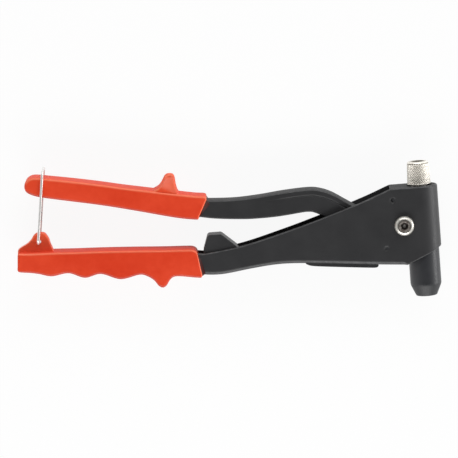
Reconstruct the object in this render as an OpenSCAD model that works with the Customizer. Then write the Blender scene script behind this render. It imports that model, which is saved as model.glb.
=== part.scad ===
// Single-hand lever tool for setting threaded rivet nuts, lying on its side, handles closed.
// X runs towards the round front of the head, Y along the mandrel towards the knob, Z up.
// Shapes are drawn about the nose axis, then moved so the origin is under the middle of the tool.
// All sizes are in mm.

/* [Body] */
// Thickness of the body at the head
body_w = 22.4; // [21.8:0.2:23]
// Thickness of the body where it enters the lower grip
tail_w = 16.4; // [15.6:0.2:16.8]
// Sheet thickness of the body
wall = 1.4; // [1.2:0.1:1.5]
// Height of the head's top above the nose face
top_y = 69.8; // [69:0.2:71]
// Rise of the slanted edge under the head, mm per mm
cut_rise = 0.43; // [0.38:0.01:0.46]
// Thickness of the head's cap
cap_t = 1.6; // [1.4:0.1:1.8]
// Thickness of the strip under the belly across the body
strip_w = 17; // [12:0.5:19]

/* [Nose] */
// Radius of the nose barrel
nose_r = 9.7; // [9.5:0.05:9.7]
// Radius of the nose's end face
nose_tip_r = 6.5; // [6.2:0.1:7.5]
// Length of the nose's tapered end
nose_cone = 7.2; // [5:0.2:10]
// Radius of the screwed-in anvil
anvil_r = 5; // [4.4:0.1:5.4]
// Length of the anvil
anvil_len = 10; // [8:0.5:12]

/* [Mandrel and draw sleeve] */
// Radius of the mandrel
mandrel_r = 3; // [2.4:0.1:3.1]
// Distance of the mandrel's tip behind the anvil face
tip_set = 0.4; // [0.2:0.1:2]
// Outer radius of the draw sleeve
sleeve_r = 4.9; // [4.7:0.05:4.9]
// Radius of the trunnions
trunnion_r = 2; // [1.6:0.1:2.2]
// Wall of the bushes on the trunnions
trunnion_wall = 1.2; // [0.8:0.1:1.3]

/* [Knob] */
// Radius of the knob at its lower edge
knob_r = 7.35; // [7:0.05:7.4]
// Radius of the knob at its top
knob_top_r = 6.7; // [6.2:0.05:7]
// Height of the knob
knob_h = 14.1; // [11.5:0.2:15]

/* [Pivot] */
// Distance of the pivot behind the nose axis
pivot_back = 11.4; // [11.2:0.1:11.6]
// Height of the pivot above the nose face
pivot_y = 46.1; // [45.8:0.1:46.4]
// Radius of the pivot sleeve
pivot_r = 4; // [3.6:0.1:4]
// Radius of the two pivot flanges
flange_r = 6.1; // [5.6:0.1:6.8]
// Height of the two pivot flanges
flange_h = 3.3; // [2.6:0.1:4]

/* [Lever] */
// Thickness of the lever
lever_w = 15; // [14:0.2:15.6]
// Thickness of the washers between the fork and the cheeks
washer_t = 1; // [0.8:0.1:1.3]
// Gap between the fork arms and the draw sleeve
arm_gap = 0.4; // [0.35:0.05:0.6]
// Radius of the fork's eye around the pivot
eye_r = 7; // [6.6:0.1:7.2]
// Opening angle of the lever, degrees
lever_open = 18; // [14:1:18]
// Angle that sets the handle closer to the body, degrees
handle_set = 0.3; // [0:0.1:0.6]

/* [Grips] */
// Thickness of both grips
grip_w = 19.5; // [19:0.1:20.5]
// Edge rounding of both grips
grip_round = 2.2; // [1.4:0.1:2.6]
// Thickness of the fin on the upper grip
fin_w = 12; // [10:0.5:14]
// Thickness of the lug for the bail
lug_w = 5.6; // [4.6:0.1:7]
// Radius of the hole in the lug
lug_hole_r = 1.4; // [1.3:0.1:1.6]

/* [Bail] */
// Radius of the bail's wire
wire_r = 0.8; // [0.6:0.05:0.9]
// Distance between the bail's two bars
bail_len = 45; // [44.9:0.1:46]
// Gap between the bail's upper bar and the top of the upper grip
bail_gap = 2.76; // [2.72:0.02:3]
// Distance between the bail's two legs
bail_w = 23; // [22.8:0.1:25]
// Bend radius of the bail's corners
bail_bend = 2.6; // [2:0.1:4]
// Lean of the bail towards the head, degrees
bail_lean = 8; // [6:0.1:8.2]

/* [Spring] */
// Radius of the spring's wire
spring_wire_r = 0.6; // [0.5:0.05:0.7]
// Turns of the spring
spring_turns = 3.5; // [2.5:0.5:3.5]

/* [Clearances] */
// Radial clearance of shafts in bushes
run_fit = 0.05; // [0.02:0.01:0.08]
// Gap between moving pieces that never touch
free_gap = 0.35; // [0.3:0.05:0.4]

/* [Hidden] */
$fn = 64;
body_r = body_w / 2;
inner_r = body_r - wall;
// The fork runs between two washers, with a little side play at each
side_play = 0.1;
fork_w = 2 * (inner_r - washer_t - 2 * side_play);
fork_gap = 2 * (sleeve_r + arm_gap);
pivot = [-pivot_back, pivot_y];
// Half the travel of the fork, so the trunnions stay near the nose axis
half_open = lever_open / 2;
trunnion_y = pivot_y + pivot_back * tan(half_open);
bush_r = trunnion_r + trunnion_wall;
slot_half = bush_r + free_gap;
arm_half = slot_half + 3;
stroke = 2 * pivot_back * tan(half_open);
// Levels along the nose axis
cap_y = top_y - cap_t;
block_y0 = 32;
block_y1 = 36;
// The barrel is eased a little where it runs up inside the body
nose_seat_y = 20.4;
barrel_r = inner_r - free_gap;
nose_ease = abs(nose_r - barrel_r);
flange_y = trunnion_y + 8.7;
flange_t = 2;
sleeve_y0 = 26;
sleeve_y1 = flange_y + flange_t + 3.4;
bearing_t = 1;
bearing_lip = 0.3;
seat_t = 1;
seat_rim = 1.1;
seat_play = 0.2;
knob_y = top_y + 0.6;
// The knob sinks into the head as the lever opens, so the spring's seat lies below its lowest place
seat_y = knob_y - stroke - free_gap - seat_t;
hub_y = sleeve_y1 + bearing_t;
knob_bore_y = knob_y + 5.6;
screw_seat_y = knob_y + knob_h - 3.4;
spring_r = sleeve_r + bearing_lip + free_gap + spring_wire_r;
// Points that two pieces share
upper_pin = [-16.4, 62.5];
lower_pin = [-22.2, 32.5];
pin_r = 1.25;
grip_left = -254.2;
web_end = -10.2;
plug_x = -226;

// Smooth curve through a list of points
function between(a, b, c, d, t) =
    0.5 * (2 * b + (c - a) * t + (2 * a - 5 * b + 4 * c - d) * t * t + (3 * b - a - 3 * c + d) * t * t * t);
function curve(p, n = 4) = concat(
    [for (i = [0:len(p) - 2], k = [0:n - 1])
        between(p[max(i - 1, 0)], p[i], p[i + 1], p[min(i + 2, len(p) - 1)], k / n)],
    [p[len(p) - 1]]);
// Outline moved inwards by d, for points listed anticlockwise from one end of a straight cut to the other
function inward(p, i) =
    let (t = p[min(i + 1, len(p) - 1)] - p[max(i - 1, 0)])
    [-t[1], t[0]] / norm(t);
function inset(p, d) = [for (i = [0:len(p) - 1]) p[i] + d * inward(p, i)];

// Underside of the body from the nose to the end of the channel
belly = curve([
    [-11, 21.2], [-27.9, 22.6], [-50, 24.7], [-76.5, 27.2], [-91.5, 27.8], [-106.6, 26.6],
    [-121.8, 24.5], [-129.4, 24], [-138, 24.6], [-150, 26.6], [-178, 29.8], [-203, 32], [plug_x, 34.4]]);
// Open upper edge of the body, from the channel's end to the head
back = curve([
    [plug_x, 43.2], [-200, 42.2], [-160, 39.8], [-141, 38.1], [-135.2, 37.8], [-113, 40.8],
    [-90, 46.5], [-67, 53.2], [-37.4, 62.9], [-22.4, 68.9]]);
body_outline = concat(
    belly, back, [[-20.4, top_y], [body_r, top_y], [body_r, 21.2 + cut_rise * (body_r + 11)]]);
body_space = concat(
    [[12, 0], [12, 99], [plug_x - 9, 99], [plug_x - 9, 36]],
    [for (i = [len(belly) - 1:-1:1]) belly[i] + [0, wall]],
    [[web_end, 21.3 + wall], [web_end, 0]]);

// Side outline of the lever, from the fork's eye over the top to the tip and back underneath
lever_outline = curve([
    [-11.4, 52.6], [-22, 52.9], [-30, 54.8], [-38, 58.4], [-46.7, 63.9], [-54.5, 69], [-61.8, 72],
    [-69.2, 73.1], [-84.3, 72.5], [-99.5, 71.1], [-114.6, 70.4], [-129.5, 71.1], [-140, 72.3],
    [-150, 74], [-168.5, 77.8], [-198.5, 84.4], [-228, 90.2], [-233.5, 90.4], [-236, 87.7],
    [-233.5, 85], [-228, 83.4], [-199.5, 76.8], [-179.8, 72], [-160, 66.8], [-146, 63.2],
    [-134, 60.6], [-126.7, 59.4], [-115.5, 58.2], [-104.3, 57.5], [-89.2, 57.7], [-74, 59],
    [-70.3, 59.1], [-66.6, 58.4], [-58, 54.2], [-48, 49.6], [-34, 44.6], [-20, 40.8], [-11.4, 39.6]]);

upper_grip_outline = curve([
    [-133.4, 72.6], [-139.3, 74.8], [-144.2, 75.9], [-156, 78.3], [-168.5, 80.8], [-183.7, 83.9],
    [-198.5, 87.2], [-213.3, 90.2], [-230.7, 93.4], [-238.1, 94.5], [-241.5, 93.7], [-244, 91.4],
    [-244.8, 88.2], [-243.4, 85.4], [-238.5, 82.9], [-229.7, 80.7], [-199.5, 74.3], [-179.8, 69.5],
    [-160.1, 64.3], [-150.3, 61.9], [-142, 60.4], [-138.6, 60.6]]);
// Fin on the upper grip, from inside its top over the fin and back inside
fin_outline = concat(
    curve([
        [-142, 74.6], [-146.5, 76.5], [-149.9, 78.6], [-151.4, 82], [-151.8, 87], [-153.3, 88.9],
        [-155.8, 89.3], [-158.4, 88], [-161.8, 83], [-164.5, 81.1], [-169, 80.5]]),
    [[-168, 74], [-143, 70]]);

lower_grip_outline = curve([
    [-141.6, 40.4], [-146, 41.2], [-161.8, 42], [-181.8, 43.3], [-201.8, 44.4], [-216.8, 45],
    [-232, 45.8], [-245, 46.6], [-250.5, 46.6], [-253.4, 44.6], [grip_left, 41], [-253.8, 37.6],
    [-252, 35.3], [-247, 34.2], [-240.9, 32.9], [-233.5, 30.8], [-222.8, 31.9], [-213, 28.2],
    [-202.9, 29.7], [-190.7, 25.6], [-178, 27.4], [-173.1, 26.1], [-169.2, 23.2], [-166.8, 19.8],
    [-164.3, 18.4], [-161.9, 19.5], [-159.6, 22.7], [-157.2, 24.5], [-153.1, 24.7], [-143.2, 23.1],
    [-139.2, 22.9]]);

// A point of the lever's handle, turned with it about the pivot
function handle_point(p) = pivot + [
    cos(handle_set) * (p[0] - pivot[0]) - sin(handle_set) * (p[1] - pivot[1]),
    sin(handle_set) * (p[0] - pivot[0]) + cos(handle_set) * (p[1] - pivot[1])];
// The bail's upper bar lies over the upper grip, and the lug's hole is one bail below it
grip_top = max([for (p = upper_grip_outline) handle_point(p)[1]]);
bail_bar_y = grip_top + bail_gap + wire_r;
lug_hole = [-239.4, bail_bar_y - bail_len * cos(bail_lean)];
// Rim of the lug, about its hole
lug_rim = [
    [7.2, -2], [5.2, 3.2], [3.5, 5.5], [1.1, 6.5], [-1.5, 6], [-3.5, 4.4], [-5.5, 1.8], [-9.5, -1.4],
    [-12.6, -3]];
lug_outline = concat(
    curve(concat([[-231, 45]], [for (p = lug_rim) lug_hole + p], [[-253.6, 45.5]])),
    [[-251, 41], [-235, 41]]);

stop_outline = [
    [-137.6, 20], [-115, 20], [-115, 40], [-116.7, 41.8], [-124.9, 49.2], [-126, 49.7],
    [-133, 49.7], [-134.2, 49], [-137.2, 40.2]];

strip_outline = concat(
    curve([[-73.8, 26], [-73.4, 25], [-72.2, 24.4], [-65.5, 23.6], [-50.5, 22], [-34.4, 20.4],
        [-30.6, 20.2], [-29.3, 20.9], [-29, 22]]),
    [[-29, 26], [-73.8, 28]]);

// Places the tool on its side over the origin
mid_x = (grip_left + body_r) / 2;
mid_y = (bail_bar_y + wire_r) / 2;
rest_z = body_r + flange_h;

placed() frame_shell();
placed() head_cap();
placed() stop_block();
placed() belly_strip();
placed() lower_grip();
placed() grip_plug();
placed() nose_block();
placed() nose_barrel();
placed() anvil();
placed() guide_bush();
placed() spring_seat();
placed() return_spring();
placed() pivot_screw();
placed() pivot_nut();
placed() thrust_washers();
placed() cross_pins();
placed() lever_bar();
placed() pivot_bushes();
placed() upper_grip();
placed() draw_sleeve();
placed() trunnion_bushes();
placed() turn_knob();
placed() knob_screw();
placed() mandrel();
placed() mandrel_ring();
placed() thrust_bearing();
placed() wire_bail();

module placed() {
    translate([-mid_x, -mid_y, rest_z]) children();
}

// Slab of a side outline, w thick, about the middle plane
module slab(w) {
    translate([0, 0, -w / 2]) linear_extrude(w) children();
}

// Plan outline carried along the nose axis
module along_axis(y0, y1) {
    translate([0, y1, 0]) rotate([90, 0, 0]) linear_extrude(y1 - y0) children();
}

// Turned shape about the nose axis, drawn as radius and height
module turned() {
    rotate([-90, 0, 0]) rotate_extrude() children();
}

// Ring about the nose axis
module ring(r0, r1, y0, y1) {
    turned() translate([r0, y0]) square([r1 - r0, y1 - y0]);
}

// Body seen from above, d inside its outer faces
module plan(d) {
    circle(r = body_r - d);
    polygon([
        [0, body_r - d], [-40, body_r - d], [-128, tail_w / 2 - d], [plug_x - 10, tail_w / 2 - 0.8 - d],
        [plug_x - 10, d + 0.8 - tail_w / 2], [-128, d - tail_w / 2], [-40, d - body_r], [0, d - body_r]]);
}

module body_solid() {
    intersection() {
        slab(body_w + 2) polygon(body_outline);
        along_axis(-1, top_y + 1) plan(0);
    }
}

module body_hollow() {
    intersection() {
        slab(body_w + 2) polygon(body_space);
        along_axis(-2, 100) plan(wall);
    }
}

// Body: two cheeks, round front, bottom web and the channel inside the lower grip
module frame_shell() {
    color("#2b2c2e") difference() {
        body_solid();
        body_hollow();
        translate([pivot[0], pivot[1], -body_w]) cylinder(h = 2 * body_w, r = pivot_r + run_fit);
        translate([upper_pin[0], upper_pin[1], -body_w]) cylinder(h = 2 * body_w, r = pin_r);
        translate([lower_pin[0], lower_pin[1], -body_w]) cylinder(h = 2 * body_w, r = pin_r);
    }
}

// Cap of the head with its rear leg and the clearance hole for the knob
module head_cap() {
    color("#2b2c2e") difference() {
        intersection() {
            along_axis(0, top_y) plan(wall);
            slab(body_w) polygon([
                [-20.6, top_y], [-20.6, 59.6], [-12.2, 59.6], [-12.2, cap_y], [body_r, cap_y], [body_r, top_y]]);
        }
        turned() translate([0, cap_y - 1]) square([knob_r + free_gap, cap_t + 2]);
        translate([upper_pin[0], upper_pin[1], -body_w]) cylinder(h = 2 * body_w, r = pin_r);
    }
}

// Wedge in the channel that the lever closes against
module stop_block() {
    color("#2b2c2e") intersection() {
        body_hollow();
        slab(body_w) polygon(stop_outline);
    }
}

module belly_strip() {
    color("#232425") difference() {
        slab(strip_w) polygon(strip_outline);
        body_solid();
    }
}

// Grip drawn as three slabs so its edges step in like a rounding
module grip_body(p) {
    slab(grip_w - 2 * grip_round) polygon(p);
    slab(grip_w - 0.7 * grip_round) polygon(inset(p, 0.3 * grip_round));
    slab(grip_w) polygon(inset(p, grip_round));
}

module lower_grip() {
    color("#e23e24") difference() {
        union() {
            grip_body(lower_grip_outline);
            slab(lug_w) polygon(lug_outline);
        }
        body_solid();
        translate([lug_hole[0], lug_hole[1], -lug_w]) cylinder(h = 2 * lug_w, r = lug_hole_r);
    }
}

// Plug in the open end of the channel
module grip_plug() {
    color("#3a3a3a") intersection() {
        body_hollow();
        body_solid();
        translate([plug_x, 20, -body_w]) cube([5, 40, 2 * body_w]);
    }
}

// Block between the cheeks that carries the nose
module nose_block() {
    color("#6f7276") difference() {
        intersection() {
            along_axis(0, block_y1) plan(wall);
            slab(body_w) polygon([
                [-26.6, block_y1], [-26.6, 26], [-10.5, 26], [-10.5, block_y0], [body_r, block_y0],
                [body_r, block_y1]]);
        }
        turned() translate([0, block_y0 - 10]) square([nose_r - 2.7, 20]);
        turned() square([nose_r, block_y0]);
        translate([lower_pin[0], lower_pin[1], -body_w]) cylinder(h = 2 * body_w, r = pin_r);
    }
}

module nose_barrel() {
    color("#1f2022") turned() polygon([
        [anvil_r, 0], [nose_tip_r, 0], [nose_r, nose_cone], [nose_r, nose_seat_y],
        [barrel_r, nose_seat_y + nose_ease], [barrel_r, block_y0], [nose_r - 2.7, block_y0],
        [nose_r - 2.7, block_y1], [sleeve_r + 1.1, block_y1], [sleeve_r + 1.1, anvil_len], [anvil_r, anvil_len]]);
}

module anvil() {
    color("#8d9095") ring(mandrel_r + free_gap, anvil_r, 0, anvil_len);
}

module guide_bush() {
    color("#b08d4a") ring(sleeve_r + run_fit, sleeve_r + 1.1, block_y0 - 4, block_y1);
}

// Cup under the cap that holds the spring's upper end below the knob
module spring_seat() {
    color("#9a9da1") turned() polygon([
        [sleeve_r + free_gap, seat_y], [inner_r - seat_play, seat_y], [inner_r - seat_play, cap_y],
        [inner_r - seat_play - seat_rim, cap_y], [inner_r - seat_play - seat_rim, seat_y + seat_t],
        [sleeve_r + free_gap, seat_y + seat_t]]);
}

// Coil spring drawn as one tube of rings along its helix
module return_spring() {
    steps = 18;
    sides = 8;
    count = steps * spring_turns;
    low = flange_y + flange_t + spring_wire_r;
    rise = (seat_y - spring_wire_r - low) / count;
    rings = [for (i = [0:count], k = [0:sides - 1])
        let (a = 360 * i / steps, b = 360 * k / sides, r = spring_r + spring_wire_r * cos(b))
        [r * cos(a), low + rise * i + spring_wire_r * sin(b), r * sin(a)]];
    skin = [for (i = [0:count - 1], k = [0:sides - 1])
        [i * sides + k, i * sides + (k + 1) % sides, (i + 1) * sides + (k + 1) % sides, (i + 1) * sides + k]];
    ends = [
        [for (k = [sides - 1:-1:0]) k],
        [for (k = [0:sides - 1]) count * sides + k]];
    color("#85888c") polyhedron(points = rings, faces = concat(skin, ends));
}

// Domed flange with a hex socket, drawn upwards from the cheek
module pivot_flange() {
    difference() {
        rotate_extrude() polygon([
            [0, 0], [flange_r, 0], [flange_r, 0.3 * flange_h], [0.93 * flange_r, 0.6 * flange_h],
            [0.8 * flange_r, 0.84 * flange_h], [0.62 * flange_r, flange_h], [0, flange_h]]);
        translate([0, 0, flange_h - 1.9]) cylinder(h = 3, r = 0.42 * flange_r, $fn = 6);
    }
}

module pivot_screw() {
    color("#c9cbce") translate([pivot[0], pivot[1], 0]) {
        translate([0, 0, body_r]) pivot_flange();
        translate([0, 0, 0.5 - body_r / 2]) cylinder(h = 1.5 * body_r - 0.4, r = pivot_r - 1.5);
    }
}

module pivot_nut() {
    color("#c9cbce") translate([pivot[0], pivot[1], 0]) difference() {
        union() {
            translate([0, 0, -body_r]) mirror([0, 0, 1]) pivot_flange();
            translate([0, 0, -body_r - 0.1]) cylinder(h = 2 * body_r, r = pivot_r);
        }
        translate([0, 0, 0.4 - body_r / 2]) cylinder(h = 2 * body_r, r = pivot_r - 1.5);
    }
}

// One washer on each side of the fork
module thrust_washers() {
    color("#d9d4c4") for (s = [0, 1]) mirror([0, 0, s])
        translate([pivot[0], pivot[1], inner_r - side_play - washer_t]) difference() {
            cylinder(h = washer_t, r = eye_r - 0.2);
            translate([0, 0, -1]) cylinder(h = washer_t + 2, r = pivot_r + run_fit);
        }
}

// Two pins through the cheeks, their ends set back below the surface
module cross_pins() {
    color("#17181a") for (p = [upper_pin, lower_pin])
        translate([p[0], p[1], 0.4 - body_r]) cylinder(h = body_w - 0.8, r = pin_r);
}

module handle_turn() {
    translate([pivot[0], pivot[1], 0]) rotate([0, 0, handle_set])
        translate([-pivot[0], -pivot[1], 0]) children();
}

// Lever's bar, with its edges stepped in
module lever_solid() {
    handle_turn() {
        slab(lever_w - 2.4) polygon(lever_outline);
        slab(lever_w) polygon(inset(lever_outline, 1.1));
    }
}

// Eye and one arm of the fork seen from the side
module fork_side() {
    circle(r = eye_r);
    rotate([0, 0, half_open]) translate([0, -arm_half]) square([pivot_back + 3.6, 2 * arm_half]);
}

// Lever with its fork around the draw sleeve
module lever_bar() {
    color("#2e2f31") difference() {
        union() {
            lever_solid();
            translate([pivot[0], pivot[1], 0]) slab(fork_w) fork_side();
        }
        translate([-21.8, 20, -fork_gap / 2]) cube([40, 60, fork_gap]);
        translate([pivot[0], pivot[1], -body_w]) cylinder(h = 2 * body_w, r = pivot_r + 1);
        translate([pivot[0], pivot[1], 0]) rotate([0, 0, half_open])
            translate([pivot_back - bush_r - 0.3, -slot_half, -body_w]) cube([20, 2 * slot_half, 2 * body_w]);
    }
}

// One bush in each fork arm
module pivot_bushes() {
    color("#b08d4a") for (s = [0, 1]) mirror([0, 0, s])
        translate([pivot[0], pivot[1], fork_gap / 2]) difference() {
            cylinder(h = (fork_w - fork_gap) / 2, r = pivot_r + 1);
            translate([0, 0, -1]) cylinder(h = fork_w, r = pivot_r + run_fit);
        }
}

module upper_grip() {
    color("#e23e24") difference() {
        handle_turn() {
            grip_body(upper_grip_outline);
            slab(fin_w) polygon(fin_outline);
        }
        lever_solid();
    }
}

// Tube with a spring flange and two trunnions for the fork
module draw_sleeve() {
    color("#7d8085") difference() {
        union() {
            turned() polygon([
                [0, sleeve_y0], [sleeve_r, sleeve_y0], [sleeve_r, flange_y], [inner_r - 0.5, flange_y],
                [inner_r - 0.5, flange_y + flange_t], [sleeve_r, flange_y + flange_t], [sleeve_r, sleeve_y1],
                [0, sleeve_y1]]);
            translate([0, trunnion_y, 0.1 - fork_w / 2]) cylinder(h = fork_w - 0.2, r = trunnion_r);
        }
        turned() translate([0, sleeve_y0 - 1]) square([mandrel_r + free_gap, sleeve_y1 - sleeve_y0 + 2]);
    }
}

module trunnion_bushes() {
    color("#b08d4a") for (s = [0, 1]) mirror([0, 0, s])
        translate([0, trunnion_y, fork_gap / 2]) difference() {
            cylinder(h = (fork_w - fork_gap) / 2 - 0.1, r = bush_r);
            translate([0, 0, -1]) cylinder(h = fork_w, r = trunnion_r);
        }
}

// Knob with its hub, bored for the mandrel and its screw
module turn_knob() {
    color("#cfcfcb") difference() {
        turned() polygon([
            [0, hub_y], [sleeve_r, hub_y], [sleeve_r, knob_y], [knob_r - 1.1, knob_y], [knob_r, knob_y + 1.1],
            [knob_top_r, knob_y + knob_h - 0.9], [knob_top_r - 0.8, knob_y + knob_h], [0, knob_y + knob_h]]);
        turned() translate([0, hub_y - 1]) square([mandrel_r, knob_bore_y - hub_y + 1]);
        turned() square([mandrel_r - 1, knob_y + knob_h]);
        turned() translate([0, screw_seat_y]) square([mandrel_r + 0.6, knob_h]);
    }
}

module knob_screw() {
    color("#3b3c3f") difference() {
        turned() polygon([
            [0, hub_y + 4], [mandrel_r - 1, hub_y + 4], [mandrel_r - 1, screw_seat_y],
            [mandrel_r + 0.3, screw_seat_y], [mandrel_r + 0.3, screw_seat_y + 2.2],
            [mandrel_r, screw_seat_y + 2.6], [0, screw_seat_y + 2.6]]);
        translate([0, screw_seat_y + 3, 0]) rotate([90, 0, 0]) cylinder(h = 2.2, r = 1.6, $fn = 6);
    }
}

// Threaded spindle, shown at its outside diameter, with a chamfered tip
module mandrel() {
    color("#a3a6ab") difference() {
        turned() polygon([
            [0, tip_set], [mandrel_r - 0.8, tip_set], [mandrel_r, tip_set + 0.8], [mandrel_r, knob_bore_y],
            [0, knob_bore_y]]);
        turned() translate([0, hub_y + 3]) square([mandrel_r - 1, knob_h + 10]);
    }
}

module mandrel_ring() {
    color("#55585c") ring(mandrel_r, mandrel_r + 1.5, sleeve_y0 - 1.6, sleeve_y0 - 0.4);
}

module thrust_bearing() {
    color("#c2a35a") ring(mandrel_r, sleeve_r + bearing_lip, sleeve_y1, hub_y);
}

// Corner of the bail's wire, a quarter turn
module bail_corner() {
    rotate_extrude(angle = 90) translate([bail_bend, 0]) circle(r = wire_r, $fn = 32);
}

// Half of the bail: a short end in the lug, one leg and half the top bar
module bail_half() {
    half = bail_w / 2;
    translate([0, 0, 0.4]) cylinder(h = half - bail_bend - 0.4, r = wire_r, $fn = 32);
    translate([0, bail_len, 0]) cylinder(h = half - bail_bend, r = wire_r, $fn = 32);
    translate([0, bail_bend, half]) rotate([-90, 0, 0])
        cylinder(h = bail_len - 2 * bail_bend, r = wire_r, $fn = 32);
    translate([0, bail_bend, half - bail_bend]) rotate([0, -90, 0]) rotate([0, 0, -90]) bail_corner();
    translate([0, bail_len - bail_bend, half - bail_bend]) rotate([0, -90, 0]) bail_corner();
}

// Wire latch that hooks from the lug over the upper grip
module wire_bail() {
    color("#c4c6c8") translate([lug_hole[0], lug_hole[1], 0]) rotate([0, 0, -bail_lean]) {
        bail_half();
        mirror([0, 0, 1]) bail_half();
    }
}
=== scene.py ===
import math

import bmesh
import bpy
import numpy as np
from mathutils import Matrix, Vector


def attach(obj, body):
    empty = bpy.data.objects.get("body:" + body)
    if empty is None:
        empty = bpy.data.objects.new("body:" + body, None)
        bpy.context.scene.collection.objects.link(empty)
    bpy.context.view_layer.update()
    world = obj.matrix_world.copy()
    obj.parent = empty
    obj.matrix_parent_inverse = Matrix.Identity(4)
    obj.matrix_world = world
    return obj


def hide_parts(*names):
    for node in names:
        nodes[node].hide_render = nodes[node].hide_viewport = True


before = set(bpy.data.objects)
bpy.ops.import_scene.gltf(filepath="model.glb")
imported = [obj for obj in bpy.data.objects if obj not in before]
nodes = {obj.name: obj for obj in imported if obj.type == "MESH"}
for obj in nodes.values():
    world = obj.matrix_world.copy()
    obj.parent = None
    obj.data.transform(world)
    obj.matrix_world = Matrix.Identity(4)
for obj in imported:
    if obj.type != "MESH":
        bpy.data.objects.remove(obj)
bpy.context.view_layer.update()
print("frame loaded:", len(nodes), "nodes")

mm = 0.001
quarterTurn, fullTurn = math.pi / 2, 2 * math.pi
drawingOrigin = np.array([121.5, -48.8362, 14.5])  # nose axis at the nose face, in the frame, mm
pivotAt = np.array([-11.4, 46.1])
handleSet = math.radians(0.3)  # the closed handle's turn about the pivot
meshLimits = dict(merge=2e-6, solidMerge=1e-6, sliver=1e-7, bevelSteps=3, bevelAngle=40)  # m, degrees


def smoothLine(points, steps):
    # Catmull-Rom curve through the points: each span is a cubic of its two ends and their neighbours
    p = np.asarray(points, float)
    q = np.vstack([p[:1], p, p[-1:]])
    t = (np.arange(steps) / steps)[None, :, None]
    a, b, c, d = (q[i:len(q) - 3 + i, None, :] for i in range(4))
    spans = 0.5 * (2 * b + (c - a) * t + (2 * a - 5 * b + 4 * c - d) * t**2 + (3 * b - a - 3 * c + d) * t**3)
    return np.vstack([spans.reshape(-1, 2), p[-1:]])


def easedLine(points, radius, steps=5, most=0.45):
    # each inner corner becomes a parabola from radius before it to radius after it, at most a share of either side
    p = np.asarray(points, float)
    out = [p[:1]]
    t = np.linspace(0, 1, steps)[:, None]
    for before, corner, after in zip(p[:-2], p[1:-1], p[2:]):
        inLen, outLen = np.linalg.norm(corner - before), np.linalg.norm(after - corner)
        r = min(radius, most * inLen, most * outLen)
        a = corner + (before - corner) * r / inLen
        b = corner + (after - corner) * r / outLen
        out.append((1 - t) ** 2 * a + 2 * t * (1 - t) * corner + t**2 * b)
    return np.vstack(out + [p[-1:]])


def step01(x, low, high):
    # 0 below low, 1 above high, a smooth S between
    t = np.clip((x - low) / (high - low), 0, 1)
    return t * t * (3 - 2 * t)


def turnHandle(p):
    # points of the lever turned about the pivot by the closed handle's angle
    c, s = math.cos(handleSet), math.sin(handleSet)
    return (np.asarray(p, float) - pivotAt) @ np.array([[c, s], [-s, c]]) + pivotAt


def inwardNormals(line):
    # unit normals to the left of an open line that runs anticlockwise
    t = np.gradient(line, axis=0)
    n = np.stack([-t[:, 1], t[:, 0]], -1)
    return n / np.maximum(np.linalg.norm(n, axis=1, keepdims=True), 1e-9)


def arcLength(line):
    # way along the line from its start to each of its points
    return np.hstack([0, np.cumsum(np.linalg.norm(np.diff(line, axis=0), axis=1))])


def sampled(at, places, values):
    # points that are given at some places along a line, read at others
    return np.stack([np.interp(at, places, values[:, k]) for k in (0, 1)], -1)


def evenly(line, count):
    # the same line with evenly spaced points
    arc = arcLength(line)
    return sampled(np.linspace(0, arc[-1], count), arc, line)


def gridFaces(rows, cols, closeRows, closeCols):
    # quads between neighbouring rows and columns of a grid of points
    i, j = np.meshgrid(np.arange(rows - (not closeRows)), np.arange(cols - (not closeCols)), indexing="ij")
    k, m = (i + 1) % rows, (j + 1) % cols
    return np.stack([i * cols + j, i * cols + m, k * cols + m, k * cols + j], -1).reshape(-1, 4)


def addObject(name, data):
    thing = bpy.data.objects.new(name, data)
    bpy.context.scene.collection.objects.link(thing)
    return thing


def addAt(name, data, place, turn):
    holder = addObject(name, data)
    holder.rotation_mode = "QUATERNION"
    holder.location, holder.rotation_quaternion = place, turn
    return holder


def settle(name, mesh, material, body, replaced, sharp):
    # a finished mesh becomes a smooth piece with sharp edges, hung on its body's empty, and the solid it replaces is
    # hidden
    mesh.polygons.foreach_set("use_smooth", np.ones(len(mesh.polygons), bool))
    mesh.set_sharp_from_angle(angle=math.radians(sharp))
    mesh.materials.append(material)
    piece = addObject(name, mesh)
    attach(piece, body)
    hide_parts(replaced)
    print("made", name, len(mesh.polygons), "faces")
    return piece


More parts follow.
